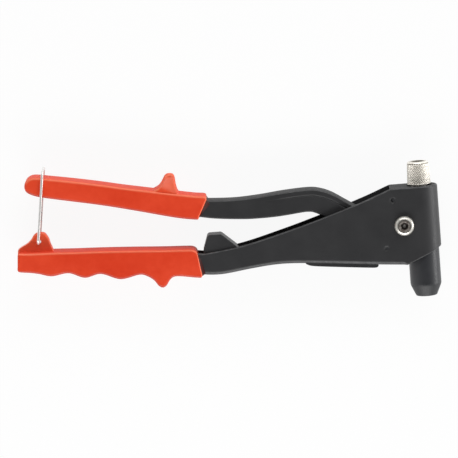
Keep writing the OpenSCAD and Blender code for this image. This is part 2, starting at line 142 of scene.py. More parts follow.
class Skin:
    # gathers grids of points in drawing mm and makes one closed mesh of them
    def __init__(self):
        self.points, self.marks, self.faces, self.count = [], {"edge": [], "side": []}, [], 0

    def grid(self, p, closeRows=False, closeCols=False, edge=0.0, side=0.0):
        rows, cols = p.shape[:2]
        self.faces += (gridFaces(rows, cols, closeRows, closeCols) + self.count).tolist()
        self.points.append(p.reshape(-1, 3))
        for key, value in (("edge", edge), ("side", side)):
            self.marks[key].append(np.broadcast_to(value, (rows, cols)).reshape(-1))
        self.count += rows * cols
        return np.arange(self.count - rows * cols, self.count).reshape(rows, cols)

    def lid(self, loop):
        self.faces.append(np.asarray(loop).tolist())

    def make(self, name, material, body, slot, replaced, bevel=0.0, sharp=35):
        mesh = bpy.data.meshes.new(name)
        mesh.from_pydata(((np.vstack(self.points) + drawingOrigin) * mm).tolist(), [], self.faces)
        for key, parts in self.marks.items():
            mark = mesh.attributes.new(key, "FLOAT", "POINT")
            mark.data.foreach_set("value", np.hstack(parts).astype(np.float32))
        work = bmesh.new()
        work.from_mesh(mesh)
        bmesh.ops.remove_doubles(work, verts=work.verts, dist=meshLimits["merge"])
        bmesh.ops.dissolve_degenerate(work, edges=work.edges, dist=meshLimits["sliver"])
        bmesh.ops.recalc_face_normals(work, faces=work.faces)
        work.to_mesh(mesh)
        work.free()
        piece = settle(name, mesh, material, body, replaced, sharp)
        if bevel:
            rim = piece.modifiers.new("rim", "BEVEL")
            rim.width, rim.segments, rim.limit_method = bevel * mm, meshLimits["bevelSteps"], "ANGLE"
            rim.angle_limit = math.radians(meshLimits["bevelAngle"])
            rim.harden_normals = True


mouthShape = dict(
    lip=0.95, lipSteps=10, lipGlow=1.6, wall=1.9, wallTop=(0.95, 0.1), recess=3.0, recessBend=0.3, under=0.6,
    square=7.0, spare=1.02)


def mouthLip(u, length, drop):
    # end of a grip: a rounded lip turns in over a quarter turn a, where the place is lip(1 - sin a) short of the wall
    # and shrinks by lip(1 - cos a), a slanted wall then goes down to the metal, and a recess runs back under it; the
    # lip carries a painted highlight, the wall and the recess painted shade
    s = mouthShape
    lip, wall, under = s["lip"], s["wall"], drop + s["under"]
    turn = np.linspace(0, quarterTurn, s["lipSteps"])
    wallShare, wallDrop = s["wallTop"]
    back = s["recess"]
    short = np.hstack([wall + lip * (1 - np.sin(turn)), wallShare * wall, 0, s["recessBend"] * back, back])
    shrink = np.hstack([lip * (1 - np.cos(turn)), lip + wallDrop, drop, under, under])
    mark = np.hstack([np.sin(turn * s["lipGlow"]) ** 2, [-1, -1, -1, -1]])
    plain = u[u < 1 - (wall + s["spare"] * lip) / length]
    return np.hstack([plain, 1 - short / length]), np.hstack([0 * plain, shrink]), np.hstack([0 * plain, mark])


def matchedChains(outline, count, drop=None):
    # upper and lower side of an outline from its tip to its other end, sampled at the same shares of its length, evenly
    # along the mean of the two arc lengths; with drop, which is the depth of the metal, that end gets a mouth
    tip, length = outline[:, 0].argmin(), np.ptp(outline[:, 0])
    inward = inwardNormals(outline)
    sides = (outline[:tip + 1][::-1], inward[:tip + 1][::-1]), (outline[tip:], inward[tip:])
    shares, arcs = [], []
    for side, _ in sides:
        share = (side[:, 0] - side[0, 0]) / (side[-1, 0] - side[0, 0])
        shares.append(np.maximum.accumulate(share) + np.arange(len(share)) * 1e-9)
        arc = arcLength(side)
        arcs.append(arc / arc[-1])
    fine = np.unique(np.hstack(shares))
    mean = sum(np.interp(fine, s, a) for s, a in zip(shares, arcs)) / 2
    u = np.interp(np.linspace(0, 1, count), mean, fine)
    shrink, mark, square = 0 * u, 0 * u, 1.0
    if drop is not None:
        u, shrink, mark = mouthLip(u, length, drop)
        square = 1 - mouthShape["square"] / length  # from here on the way in stays square to the handle
    chains = [sampled(at, s, values) for s, pair in zip(shares, sides)
              for values, at in zip(pair, (u, np.minimum(u, square)))]
    return u, shrink, mark, chains


edgeLook = dict(upward=(0.1, 0.9), underShade=0.4, glintPower=1.3, sideFade=(0.25, 0.9), crownPower=0.7, leastRound=0.35)


def pillow(skin, chains, half, rounding, shrink=0.0, crown=0.0, dent=None, edgeRows=8, faceRows=9, mark=0.0):
    # rounded slab: the outline moves in by r(1 - cos a) while its height goes to half - r + r sin a, then two
    # faces of straight lines from side to side close it, raised by crown in the middle and lowered by dent
    s = edgeLook
    top, topIn, bottom, bottomIn = chains
    count = len(top)

    def both(v):
        v = np.broadcast_to(v, count)
        return np.hstack([v[::-1], v[1:]])[None, :]

    loop, inward = np.vstack([top[::-1], bottom[1:]]), np.vstack([topIn[::-1], bottomIn[1:]])
    inner, h = both(shrink), both(half - shrink)
    r = np.maximum(both(rounding) - inner, s["leastRound"])
    quarter = np.linspace(0, quarterTurn, edgeRows)
    angle = np.hstack([-quarter[::-1], quarter])[:, None]
    side = np.repeat([-1.0, 1.0], edgeRows)[:, None]
    inset = inner + r * (1 - np.cos(angle))
    height = side * (h - r) + r * np.sin(angle)
    rim = np.dstack([loop + inset[..., None] * inward, height])
    rise = -inward[:, 1][None, :]
    facing = step01(rise, *s["upward"]) - s["underShade"] * step01(-rise, *s["upward"])  # painted highlight on edges that face up, painted shade on edges that face down
    # glint is a painted highlight on the rounded edge; a rim mark below zero puts painted shade there
    glint, rimMark = np.abs(np.sin(2 * angle)) ** s["glintPower"] * facing, both(mark)
    sunk = np.where(rimMark < 0, np.minimum(glint, rimMark), glint)
    glint = np.where(rimMark > 0, np.maximum(glint, rimMark), sunk)
    rimIds = skin.grid(rim, edge=glint, side=1 - step01(np.abs(angle), *s["sideFade"]))
    v = np.linspace(0, 1, faceRows)[:, None, None]
    faces = []
    for row, sign in ((-1, 1), (0, -1)):
        face = rim[row, :count][::-1] * (1 - v) + rim[row, count - 1:] * v
        middle = np.sin(math.pi * v[..., 0]) ** s["crownPower"]
        face[..., 2] += sign * crown * middle
        faceMark = np.broadcast_to(mark, count)[None, :] + 0 * middle
        if dent is not None:
            depth = dent(face[..., 0], v[..., 0] + 0 * face[..., 0]) * (middle > 1e-6)
            face[..., 2] -= sign * depth
            # the dent is darkened with painted shade
            faceMark = faceMark - depth / depth.max()
        faces.append(skin.grid(face, edge=faceMark))
    near, far = faces
    skin.lid(np.hstack([rimIds[:, 0], near[1:-1, -1], rimIds[::-1, -1], far[1:-1, -1][::-1]]))


def revolved(skin, profile, turns, axis="y", centre=(0.0, 0.0), radius=None, edge=0.0):
    # profile points (radius, height) carried round an axis; radius may change with the angle
    t = np.linspace(0, fullTurn, turns, endpoint=False)[None, :]
    r = profile[:, :1] + 0 * t if radius is None else radius(profile[:, :1], profile[:, 1:], t)
    h = profile[:, 1:] + 0 * t
    a, b = r * np.cos(t) + centre[0], r * np.sin(t) + centre[1]
    skin.grid(np.stack([a, h, b] if axis == "y" else [a, b, h], -1), closeCols=True, edge=edge)


def slab(skin, outline, low, high):
    # closed outline carried straight along Z; low and high may change from point to point
    n = len(outline)
    p = np.stack([np.column_stack([outline, np.broadcast_to(z, n)]) for z in (low, high)])
    ids = skin.grid(p, closeCols=True)
    skin.lid(ids[0][::-1])
    skin.lid(ids[1])


def tube(skin, path, radius, sides):
    # circle carried along a path in space, kept square to it, with flat ends
    t = np.gradient(path, axis=0)
    t /= np.linalg.norm(t, axis=1, keepdims=True)
    across = np.cross(t, np.array([1.0, 0.0, 0.0]))
    across /= np.linalg.norm(across, axis=1, keepdims=True)
    up = np.cross(across, t)
    a = np.linspace(0, fullTurn, sides, endpoint=False)[None, :, None]
    ring = radius * (np.cos(a) * across[:, None] + np.sin(a) * up[:, None])
    ids = skin.grid(path[:, None] + ring, closeCols=True)
    skin.lid(ids[0])
    skin.lid(ids[-1][::-1])


class Shade:
    # a socket that can be used in arithmetic; each operation adds one Math node
    def __init__(self, tree, socket):
        self.tree, self.socket = tree, socket

    def maths(self, operation, a, b):
        return self.tree.node("ShaderNodeMath", {"operation": operation}, {0: a, 1: b})

    def __add__(self, other):
        return self.maths("ADD", self, other)

    def __radd__(self, other):
        return self.maths("ADD", other, self)

    def __sub__(self, other):
        return self.maths("SUBTRACT", self, other)

    def __rsub__(self, other):
        return self.maths("SUBTRACT", other, self)

    def __mul__(self, other):
        return self.maths("MULTIPLY", self, other)

    def __rmul__(self, other):
        return self.maths("MULTIPLY", other, self)


class Tree:
    # the nodes of a material or of the world, each made by one method
    def __init__(self, owner, output):
        owner.use_nodes = True
        self.nodes, self.links = owner.node_tree.nodes, owner.node_tree.links
        self.nodes.clear()
        self.output = self.nodes.new(output)

    def plug(self, node, key, value):
        # a link from another node or a plain value
        if isinstance(value, Shade):
            self.links.new(value.socket, node.inputs[key])
        else:
            node.inputs[key].default_value = value

    def node(self, kind, settings=None, sockets=None, out=0):
        made = self.nodes.new(kind)
        for key, value in (settings or {}).items():
            setattr(made, key, value)
        for key, value in (sockets or {}).items():
            self.plug(made, key, value)
        return Shade(self, made.outputs[out])

    def ramp(self, value, low, high, start=0.0, end=1.0):
        # start at low and end at high, a smooth S between
        sockets = {"Value": value, "From Min": low, "From Max": high, "To Min": start, "To Max": end}
        return self.node("ShaderNodeMapRange", {"interpolation_type": "SMOOTHSTEP"}, sockets)


class Finish(Tree):
    # one material: a Principled shader and the nodes that feed it
    def __init__(self, name, metallic=0.0, specular=0.5, coat=0.0, coatRough=0.2):
        self.material = bpy.data.materials.new(name)
        super().__init__(self.material, "ShaderNodeOutputMaterial")
        fixed = {"Metallic": metallic, "Specular IOR Level": specular, "Coat Weight": coat, "Coat Roughness": coatRough}
        self.lit = self.node("ShaderNodeBsdfPrincipled", {}, fixed)
        self.shader = self.lit.socket.node
        self.plug(self.output, "Surface", self.lit)
        self.coords = self.node("ShaderNodeTexCoord", out="Object")

    def noise(self, scale, detail=2.0, rough=0.5, stretch=None):
        at = self.coords
        if stretch:
            at = self.node("ShaderNodeMapping", {}, {"Vector": at, "Scale": stretch})
        return self.node("ShaderNodeTexNoise", {}, {"Vector": at, "Scale": scale, "Detail": detail, "Roughness": rough})

    def blend(self, factor, a, b):
        first, second = (c if isinstance(c, Shade) else (*c, 1) for c in (a, b))
        return self.node("ShaderNodeMix", {"data_type": "RGBA"}, {0: factor, 6: first, 7: second}, 2)

    def mark(self, name):
        return self.node("ShaderNodeAttribute", {"attribute_name": name}, out="Fac")

    def edge(self):
        # positive and negative part of the edge mark: painted highlight along edges, partly rubbed wear on the coat,
        # and painted shade in sunk places and under edges
        mark = self.mark("edge")
        return mark.maths("MAXIMUM", mark, 0.0), mark.maths("MAXIMUM", 0.0 - mark, 0.0)

    def radiusFrom(self, x, y):
        # distance in metres from an axis along Z through x, y of the drawing
        at = ((np.array([x, y, 0]) + drawingOrigin) * mm * (1, 1, 0)).tolist()
        flat = self.node("ShaderNodeVectorMath", {"operation": "MULTIPLY"}, {0: self.coords, 1: (1, 1, 0)})
        return self.node("ShaderNodeVectorMath", {"operation": "DISTANCE"}, {0: flat, 1: at}, "Value")

    def feed(self, colour, rough, height=None, bump=(0.0, 0.0)):
        self.plug(self.shader, "Base Color", colour)
        self.plug(self.shader, "Roughness", rough)
        if height is not None:
            sockets = {"Height": height, "Distance": bump[0], "Strength": bump[1]}
            self.plug(self.shader, "Normal", self.node("ShaderNodeBump", {}, sockets))
        return self.material


# noises are given as scale, detail, roughness and stretch, a bump as its depth in metres and its strength
coatLook = dict(
    body=dict(dark=(0.020, 0.020, 0.0215), light=(0.030, 0.030, 0.0315), rough=0.47, wearAndGlintShare=0.5),
    lever=dict(dark=(0.021, 0.021, 0.022), light=(0.031, 0.031, 0.0325), rough=0.44, wearAndGlintShare=0.4),
    nose=dict(dark=(0.021, 0.022, 0.025), light=(0.033, 0.034, 0.038), rough=0.40, wearAndGlintShare=0.25),
    wearAndGlint=(0.11, 0.11, 0.114), sunk=(0.004, 0.004, 0.0045), sunkShare=0.85, cloud=(70, 4, 0.6), peel=(900, 2),
    grain=(3800, 1), rub=(160, 5, 0.65), rubRange=(0.32, 0.62), cloudRough=0.16, grainRough=0.10, wearAndGlintRough=0.12,
    sunkRough=0.3, sideRough=0.25, peelShare=0.75, bump=(0.000045, 0.55))


def coatedMetal(piece):
    # sprayed black coat: cloudy tone, fine orange peel, edges lighter in patches, partly rubbed wear and partly painted
    # highlight, and painted shade in sunk places
    s, own = coatLook, coatLook[piece]
    f = Finish(piece + "Coat")
    cloud, peel, grain, rub = (f.noise(*s[key]) for key in ("cloud", "peel", "grain", "rub"))
    edge, sunk = f.edge()
    # the lighter grey along rounded edges is a painted highlight, partly rubbed wear; the near-black in sunk places is
    # painted shade
    wearAndGlint = edge * f.ramp(rub, *s["rubRange"]) * own["wearAndGlintShare"]
    coat = f.blend(wearAndGlint, f.blend(cloud, own["dark"], own["light"]), s["wearAndGlint"])
    rough = (own["rough"] + (cloud - 0.5) * s["cloudRough"] + (grain - 0.5) * s["grainRough"] - wearAndGlint * s["wearAndGlintRough"]
             + sunk * s["sunkRough"] + f.mark("side") * s["sideRough"])
    relief = peel * s["peelShare"] + grain * (1 - s["peelShare"])
    return f.feed(f.blend(sunk * s["sunkShare"], coat, s["sunk"]), rough, relief, s["bump"])


gripLook = dict(
    deep=(0.71, 0.043, 0.0115), bright=(0.84, 0.074, 0.026), rim=(1.0, 0.19, 0.085), inside=(0.05, 0.008, 0.006),
    specular=0.32, coat=0.12, coatRough=0.16, cloud=(16, 2, 0.5, (1, 1.6, 1)), mottle=(45, 3, 0.55, (1, 1.7, 1)),
    patch=(210, 3, 0.6), grain=(1500, 2), toneShares=(0.55, 0.25, 0.2), toneRange=(0.28, 0.68), rough=0.36,
    patchRough=0.14, grainRough=0.06, sideRough=0.45, reliefShares=(0.7, 0.2, 0.1), bump=(0.00022, 0.30))


def dippedVinyl(name):
    # dipped soft plastic: mottled red, a painted highlight in paler orange along the edges, painted shade in dark red
    # in the mouths and under edges, slow ripples in the gloss
    s = gripLook
    f = Finish(name, specular=s["specular"], coat=s["coat"], coatRough=s["coatRough"])
    cloud, mottle, patch, grain = (f.noise(*s[key]) for key in ("cloud", "mottle", "patch", "grain"))
    a, b, c = s["toneShares"]
    base = f.blend(f.ramp(cloud * a + mottle * b + patch * c, *s["toneRange"]), s["deep"], s["bright"])
    edge, sunk = f.edge()
    # rim is a painted highlight along edges and lips; inside is painted shade in the mouths and under edges
    colour = f.blend(sunk, f.blend(edge, base, s["rim"]), s["inside"])
    rough = (s["rough"] + (patch - 0.5) * s["patchRough"] + (grain - 0.5) * s["grainRough"]
             + f.mark("side") * s["sideRough"])
    a, b, c = s["reliefShares"]
    return f.feed(colour, rough, mottle * a + patch * b + grain * c, s["bump"])


knobLook = dict(
    nickel=(1.0, 0.965, 0.89), shade=(0.92, 0.87, 0.78), valley=(0.22, 0.195, 0.155), valleyShare=0.9, metallic=0.62,
    patch=(260, 4, 0.6), fine=(2600, 2), rough=0.22, patchRough=0.12, valleyRough=0.2, bump=(0.00001, 0.4))


def knobNickel(name):
    # warm nickel plate, duller in patches, painted shade in the knurl's valleys, the groove under the top and the bore
    s = knobLook
    f = Finish(name, metallic=s["metallic"])
    patch, fine = f.noise(*s["patch"]), f.noise(*s["fine"])
    valley = f.edge()[0]
    colour = f.blend(valley * s["valleyShare"], f.blend(patch, s["shade"], s["nickel"]), s["valley"])
    return f.feed(colour, s["rough"] + patch * s["patchRough"] + valley * s["valleyRough"], fine, s["bump"])


# each start and end is a pair of radii in metres
pivotLook = dict(
    plate=(0.78, 0.76, 0.71), plateShade=(0.54, 0.52, 0.47), recess=(0.06, 0.048, 0.042),
    socketGlint=(0.85, 0.82, 0.77), flat=(0.62, 0.58, 0.53), flatDark=(0.24, 0.195, 0.165), floorEnd=(0.0006, 0.0012),
    recessEnd=(0.0021, 0.0027), flatEnd=(0.0034, 0.0041), lineStart=(0.0034, 0.0038), lineEnd=(0.0039, 0.0044),
    lineShare=0.75, metallic=0.7, patch=(420, 4, 0.6), fine=(3000, 2), spots=(700, 3, 0.6), spotRange=(0.35, 0.65),
    rough=0.20, patchRough=0.18, bump=(0.00001, 0.4))


def pivotNickel(name):
    # nickel plate, by distance from the pivot's axis: painted highlight on the floor and painted shade on the walls of
    # the hex socket, a darker mottled flat round it, a dark line of painted shade where the flat meets the dome, and a
    # bright dome
    s = pivotLook
    f = Finish(name, metallic=s["metallic"])
    r = f.radiusFrom(*pivotAt)
    patch, fine, spots = (f.noise(*s[key]) for key in ("patch", "fine", "spots"))
    plate = f.blend(patch, s["plateShade"], s["plate"])
    # painted highlight on the socket's floor, painted shade on its walls
    inside = f.blend(f.ramp(r, *s["floorEnd"]), s["socketGlint"], s["recess"])
    flat = f.blend(f.ramp(spots, *s["spotRange"]), s["flatDark"], s["flat"])
    # painted shade in a dark ring where the flat meets the dome
    line = f.ramp(r, *s["lineStart"]) * (1 - f.ramp(r, *s["lineEnd"])) * s["lineShare"]
    colour = f.blend(f.ramp(r, *s["flatEnd"]), f.blend(f.ramp(r, *s["recessEnd"]), inside, flat), plate)
    return f.feed(f.blend(line, colour, s["recess"]), s["rough"] + patch * s["patchRough"], fine, s["bump"])


steelLook = dict(
    wireSteel=dict(dark=(0.74, 0.73, 0.71), light=(0.95, 0.94, 0.92), stretch=(1, 0.12, 1), rough=0.28, metallic=0.5),
    turnedSteel=dict(dark=(0.30, 0.31, 0.33), light=(0.50, 0.51, 0.53), stretch=(0.2, 3, 0.2), rough=0.34, metallic=1),
    bushBronze=dict(dark=(0.36, 0.21, 0.07), light=(0.56, 0.36, 0.14), stretch=(0.3, 3, 0.3), rough=0.36, metallic=1))
lineLook = dict(line=(900, 3, 0.6), patch=(160, 3), lineShare=0.6, lineRough=0.2, bump=(0.00001, 0.5))


def drawnSteel(name):
    # drawn or turned steel: fine lines along its length
    s, own = lineLook, steelLook[name]
    f = Finish(name, metallic=own["metallic"])
    line, patch = f.noise(*s["line"], own["stretch"]), f.noise(*s["patch"])
    colour = f.blend(line * s["lineShare"] + patch * (1 - s["lineShare"]), own["dark"], own["light"])
    return f.feed(colour, own["rough"] + (line - 0.5) * s["lineRough"], line, s["bump"])


nylonLook = dict(
    dark=(0.60, 0.56, 0.45), light=(0.74, 0.70, 0.60), specular=0.4, patch=(90, 3), grain=(1800, 2), rough=0.5,
    grainRough=0.1, bump=(0.00002, 0.5))


def plainNylon(name):
    # pale plastic with a soft cloud and a fine grain
    s = nylonLook
    f = Finish(name, specular=s["specular"])
    patch, grain = f.noise(*s["patch"]), f.noise(*s["grain"])
    rough = s["rough"] + (grain - 0.5) * s["grainRough"]
    return f.feed(f.blend(patch, s["dark"], s["light"]), rough, grain, s["bump"])


bodyCoat, leverCoat, noseCoat = (coatedMetal(piece) for piece in ("body", "lever", "nose"))
gripVinyl = dippedVinyl("gripVinyl")
nickelKnob = knobNickel("nickelKnob")
nickelPivot = pivotNickel("nickelPivot")
wireSteel, turnedSteel, bushBronze = (drawnSteel(name) for name in steelLook)
nylon = plainNylon("nylon")
print("finishes made")


# pins gives the place and the depth of the dimple over each cross pin; the depth also sets its painted shade
bodyShape = dict(
    wall=1.4, bend=2.5, topRound=1.15, innerRound=0.2, cutRound=0.8, sliver=0.02, top=69.8, topFrom=-18.4, topTo=20,
    topEase=0.9, cutStart=-11.0, cutLow=21.2, cutRise=0.43, front=11.2, headFrom=-30, rear=-226.0, wallRows=72,
    bendGlint=0.7, topGlint=0.5, bendEnd=-13.5, webEnd=-10.3, webSet=0.004, webRows=7, lap=0.08,
    pins=((-17.5, 62.5, 1.15), (-23.3, 32.5, 0.6)), dimpleReach=1.9, dimpleWall=(0.35, 1.0), dimpleSkin=0.9,
    halfAt=(-236, -128, -40, 0), half=(7.4, 8.2, 11.2, 11.2),
    belly=((-11, 21.2), (-27.9, 22.6), (-50, 24.7), (-76.5, 27), (-91.5, 27.4), (-106.6, 26.1), (-121.8, 24.1),
        (-129.4, 23.6), (-138, 24.3), (-150, 26.6), (-178, 29.8), (-203, 32), (-226, 34.4)),
    back=((-226, 43.2), (-200, 42.2), (-160, 39.8), (-141, 38.1), (-135.2, 37.8), (-113, 40.8), (-90, 46.5),
        (-67, 53.1), (-37.4, 62.6), (-20, 69.2)))


def bodyHalf(x):
    # half of the body's width at x, in straight lines between the given places
    return np.interp(x, bodyShape["halfAt"], bodyShape["half"])


def bodyHeights(x):
    # lower and upper edge of the body at x: belly curve then slanted cut, back curve then level top
    s = bodyShape
    belly = smoothLine(s["belly"], 10)[::-1]
    low = np.where(x < s["cutStart"], np.interp(x, belly[:, 0], belly[:, 1]),
                   s["cutLow"] + s["cutRise"] * (x - s["cutStart"]))
    back = np.vstack([smoothLine(s["back"], 10), [[s["topFrom"], s["top"]], [s["topTo"], s["top"]]]])
    around = np.linspace(-s["topEase"], s["topEase"], 17)  # a short running mean rounds the corner into the level top
    high = np.mean([np.interp(x + d, back[:, 0], back[:, 1]) for d in around], axis=0)
    return low, high


def bodyProfile(low, high, bend, foot, rise):
    # J-shaped section as (distance in from the outer face, height): outer bend, outer wall, rounded top, inner wall,
    # inner bend and back to the foot
    s = bodyShape
    a = np.linspace(0, quarterTurn, 7)[None, :]
    b = np.linspace(0, quarterTurn, 6)[None, :]
    lo, hi = low[:, None], high[:, None]
    rt, re, w = s["topRound"], s["innerRound"], s["wall"]
    up = np.linspace(0, 1, s["wallRows"])[None, 1:-1]
    coarse = up[:, ::6]
    inner = np.maximum(bend - w, s["sliver"])
    rows = [
        (foot, lo),
        (bend - bend * np.sin(a), lo + bend - bend * np.cos(a)),
        (0, lo + bend + (hi - rt - lo - bend) * up),
        (rt - rt * np.cos(b), hi - rt + rt * np.sin(b)),
        (w - re + re * np.sin(b), hi - re + re * np.cos(b)),
        (w, hi - re - (hi - re - lo - rise - inner) * coarse),
        (w + inner * (1 - np.cos(a)), lo + rise + inner * (1 - np.sin(a))),
        (foot, lo + rise),
    ]
    d = np.hstack([np.broadcast_to(inset, y.shape) for inset, y in rows])
    # painted highlight along the outer bend, the rounded top and the inner top edge
    glint = np.hstack([0, np.sin(2 * a[0]) * s["bendGlint"], 0 * up[0], np.sin(2 * b[0]), 0 * b[0] + s["topGlint"],
                       0 * coarse[0], 0 * a[0], 0])
    return d, np.hstack([y for _, y in rows]), glint


def makeBody():
    # the section is carried along one cheek, round the front and back along the other, and a web closes the belly
    s = bodyShape
    skin = Skin()
    along = np.hstack([np.linspace(s["rear"], s["headFrom"], 150), np.linspace(s["headFrom"] + 0.5, 0, 60)])
    turn = np.linspace(quarterTurn, -quarterTurn, 41)[1:-1]
    x = np.hstack([along, s["front"] * np.cos(turn), along[::-1]])
    z = np.hstack([bodyHalf(along), s["front"] * np.sin(turn), -bodyHalf(along[::-1])])
    inX = np.hstack([0 * along, -np.cos(turn), 0 * along])
    inZ = np.hstack([0 * along - 1, -np.sin(turn), 0 * along + 1])
    low, high = bodyHeights(x)
    mix = step01(x, s["bendEnd"], s["webEnd"])[:, None]  # the bend under the belly runs out into the plain cut edge
    channel = bodyProfile(low, high, s["bend"], s["bend"], s["wall"])
    plain = bodyProfile(low, high, s["cutRound"], s["wall"] - s["sliver"], s["sliver"])
    d = channel[0] * (1 - mix) + plain[0] * mix
    y = channel[1] * (1 - mix) + plain[1] * mix
    mark = channel[2][None, :] + 0 * d
    for px, py, depth in s["pins"]:
        away = np.hypot(x[:, None] - px, y - py) / s["dimpleReach"]
        hollow = (1 - step01(away, *s["dimpleWall"])) * (d < s["dimpleSkin"])
        # each dimple is pressed in and darkened with painted shade
        d, mark = d + depth * hollow, mark - depth * hollow
    p = np.stack([x[:, None] + inX[:, None] * d, y, z[:, None] + inZ[:, None] * d], -1)
    shell = skin.grid(p, closeCols=True, edge=mark)
    webX = along[along < s["webEnd"]]
    webMix = step01(webX, s["bendEnd"], s["webEnd"])
    foot = s["bend"] * (1 - webMix) + (s["wall"] - s["sliver"]) * webMix
    edge = bodyHalf(webX) - foot + s["lap"]  # runs a little into the feet
    across = np.linspace(-1, 1, s["webRows"])[None, :]
    webLow = bodyHeights(webX)[0][:, None] + 0 * across + s["webSet"]
    under = np.stack([webX[:, None] + 0 * across, webLow, edge[:, None] * across], -1)
    over = under[:, ::-1] + np.array([0, s["wall"] - 2 * s["webSet"], 0])
    web = skin.grid(np.hstack([under, over]), closeCols=True)
    for ids in (shell, web):
        skin.lid(ids[0])
        skin.lid(ids[-1][::-1])
    skin.make("bodyShell", bodyCoat, "frame", "body_black", "frame_shell", sharp=32)


makeBody()

stopShape = dict(
    outline=((-137.6, 27), (-115, 27), (-115, 39.2), (-116.7, 41), (-124.9, 48.4), (-126, 48.9), (-133, 48.9),
        (-134.2, 48.2), (-137.2, 39.6)), play=1.42, round=0.55)


def makeStop():
    # wedge between the cheeks: its outline carried across the channel, narrower towards the rear
    skin = Skin()
    line = np.array(stopShape["outline"], float)
    half = bodyHalf(line[:, 0]) - stopShape["play"]
    slab(skin, line, -half, half)
    skin.make("stopBlock", bodyCoat, "frame", "body_black", "stop_block", stopShape["round"])


stripShape = dict(
    under=((-74.2, 26.6), (-73.2, 25.9), (-70.8, 25.0), (-65.5, 24.2), (-50.5, 22.6), (-34.4, 21), (-30.8, 20.8),
        (-29.4, 21.3), (-29, 22)), half=8.5, sunk=0.3, least=0.05, round=0.5)


def makeStrip():
    # strip under the belly: its lower side is a curve, its upper side lies just inside the body's web
    s = stripShape
    skin = Skin()
    under = smoothLine(s["under"], 8)
    over = np.column_stack([under[:, 0], bodyHeights(under[:, 0])[0] + s["sunk"]])
    under[:, 1] = np.minimum(under[:, 1], over[:, 1] - s["least"])
    slab(skin, np.vstack([under, over[::-1]]), -s["half"], s["half"])
    skin.make("bellyStrip", bodyCoat, "frame", "body_black", "belly_strip", s["round"])


capShape = dict(
    left=-18.6, half=9.78, holeR=7.75, top=69.7, under=68.2, edge=0.4, block=(-12.2, 59.6), blockLap=0.2, turns=240)


def makeCap():
    # plate with a round hole: each ray from the knob's axis runs from the hole to the outline, which is the nearest of
    # the left end, the two cheeks and the round front, and a closed section goes up the hole, over the top and down
    s = capShape
    skin = Skin()
    t = np.linspace(0, fullTurn, s["turns"], endpoint=False)[:, None]
    c, d = np.cos(t), np.abs(np.sin(t))
    left, half, top, under, edge = s["left"], s["half"], s["top"], s["under"], s["edge"]
    reach = np.where(c < 0, np.minimum(left / np.minimum(c, -1e-6), half / np.maximum(d, 1e-6)), half)
    hole = 0 * reach + s["holeR"]
    radius = np.hstack([hole, hole, hole + edge, reach - edge, reach, reach])
    y = np.array([under, top - edge, top, top, top - edge, under])
    p = np.stack([radius * np.cos(t), y + 0 * radius, radius * np.sin(t)], -1)
    skin.grid(p, closeRows=True, closeCols=True, side=np.array([0, 0.5, 1, 1, 0.5, 0])[None, :])  # the top is dull
    (right, low), high = s["block"], under + s["blockLap"]
    slab(skin, np.array([(left, low), (right, low), (right, high), (left, high)]), -half, half)
    skin.make("headCap", bodyCoat, "frame", "body_black", "head_cap")


makeStop()
makeStrip()
makeCap()


gripShape = dict(
    half=9.75, round=1.6, tipShare=(0.0, 0.08), crown=0.15, crownShare=(0.02, 0.1), samples=300, edgeRows=10)
upperShape = dict(
    tipRound=2.0, metalHalf=7.55,
    line=((-130.8, 71.4), (-132.2, 73.2), (-134.2, 74.4), (-139.3, 75.1), (-144.2, 76), (-156, 78.3), (-168.5, 80.8),
        (-183.7, 83.9), (-198.5, 87.2), (-213.3, 90.2), (-230.7, 93.4), (-238.3, 94.6), (-241.9, 94), (-244.4, 91.8),
        (-245, 88.4), (-243.5, 85.4), (-238.5, 82.9), (-229.7, 80.7), (-199.5, 74.3), (-179.8, 69.5), (-160.1, 64.3),
        (-150.3, 61.9), (-142, 60.4), (-138.4, 60.1), (-136.8, 60.8)))
lowerShape = dict(
    tipRound=1.3, metalHalf=8.18,
    line=((-138.9, 35.6), (-140.8, 38.0), (-142, 39.8), (-143.8, 40.8), (-147, 41.25), (-161.8, 42), (-181.8, 43.3),
        (-201.8, 44.4), (-216.8, 45), (-232, 45.8), (-245, 46.2), (-250.6, 46.6), (-252.4, 46.4), (-253, 45.4),
        (-253.2, 43.4), (-253.6, 38.6), (-253.8, 36.3), (-253.1, 35.1), (-251, 34.6), (-246, 33.9), (-240.9, 32.9),
        (-232.8, 30.8), (-222.2, 31.9), (-212.3, 28.3), (-202.1, 29.9), (-190.2, 25.7), (-178.2, 27.6),
        (-173.1, 26.1), (-169.2, 23.2), (-166.8, 19.8), (-164.3, 18.4), (-161.9, 19.5), (-159.6, 22.7),
        (-157.2, 24.5), (-153.1, 24.7), (-143.2, 23.1), (-138.9, 22.7), (-137.5, 23.3)))
finShape = dict(
    tipHalf=4.2, baseHalf=9.0, baseAt=0.62, round=1.7, glow=0.5, glowFade=(0.5, 0.75), samples=110,
    line=((-144, 71.5), (-149, 76.2), (-150.5, 78.6), (-151.2, 82), (-151.6, 86.6), (-152.3, 88.5), (-153.8, 89.3),
        (-156, 89.3), (-157.5, 88.5), (-158.6, 86.8), (-161, 83), (-163.8, 81), (-170, 78.8)))
lugShape = dict(
    hole=(-239.4, 52.310), holeRound=1.4, holeEdge=0.35, half=2.8, round=1.3, rimGlow=0.6, glow=0.3, turns=160,
    rim=((8.1, -4.2), (7.2, -1.6), (6.4, 1.4), (5.3, 3.6), (4.2, 5), (2.8, 5.6), (0.6, 5.7), (-1.6, 5.2), (-3.2, 3.9),
        (-5, 1.3), (-7.9, -1), (-10.8, -2.5), (-13.3, -4.2)),
    root=((-230.4, 45.4), (-253.3, 45.0), (-251, 41), (-235, 41)))


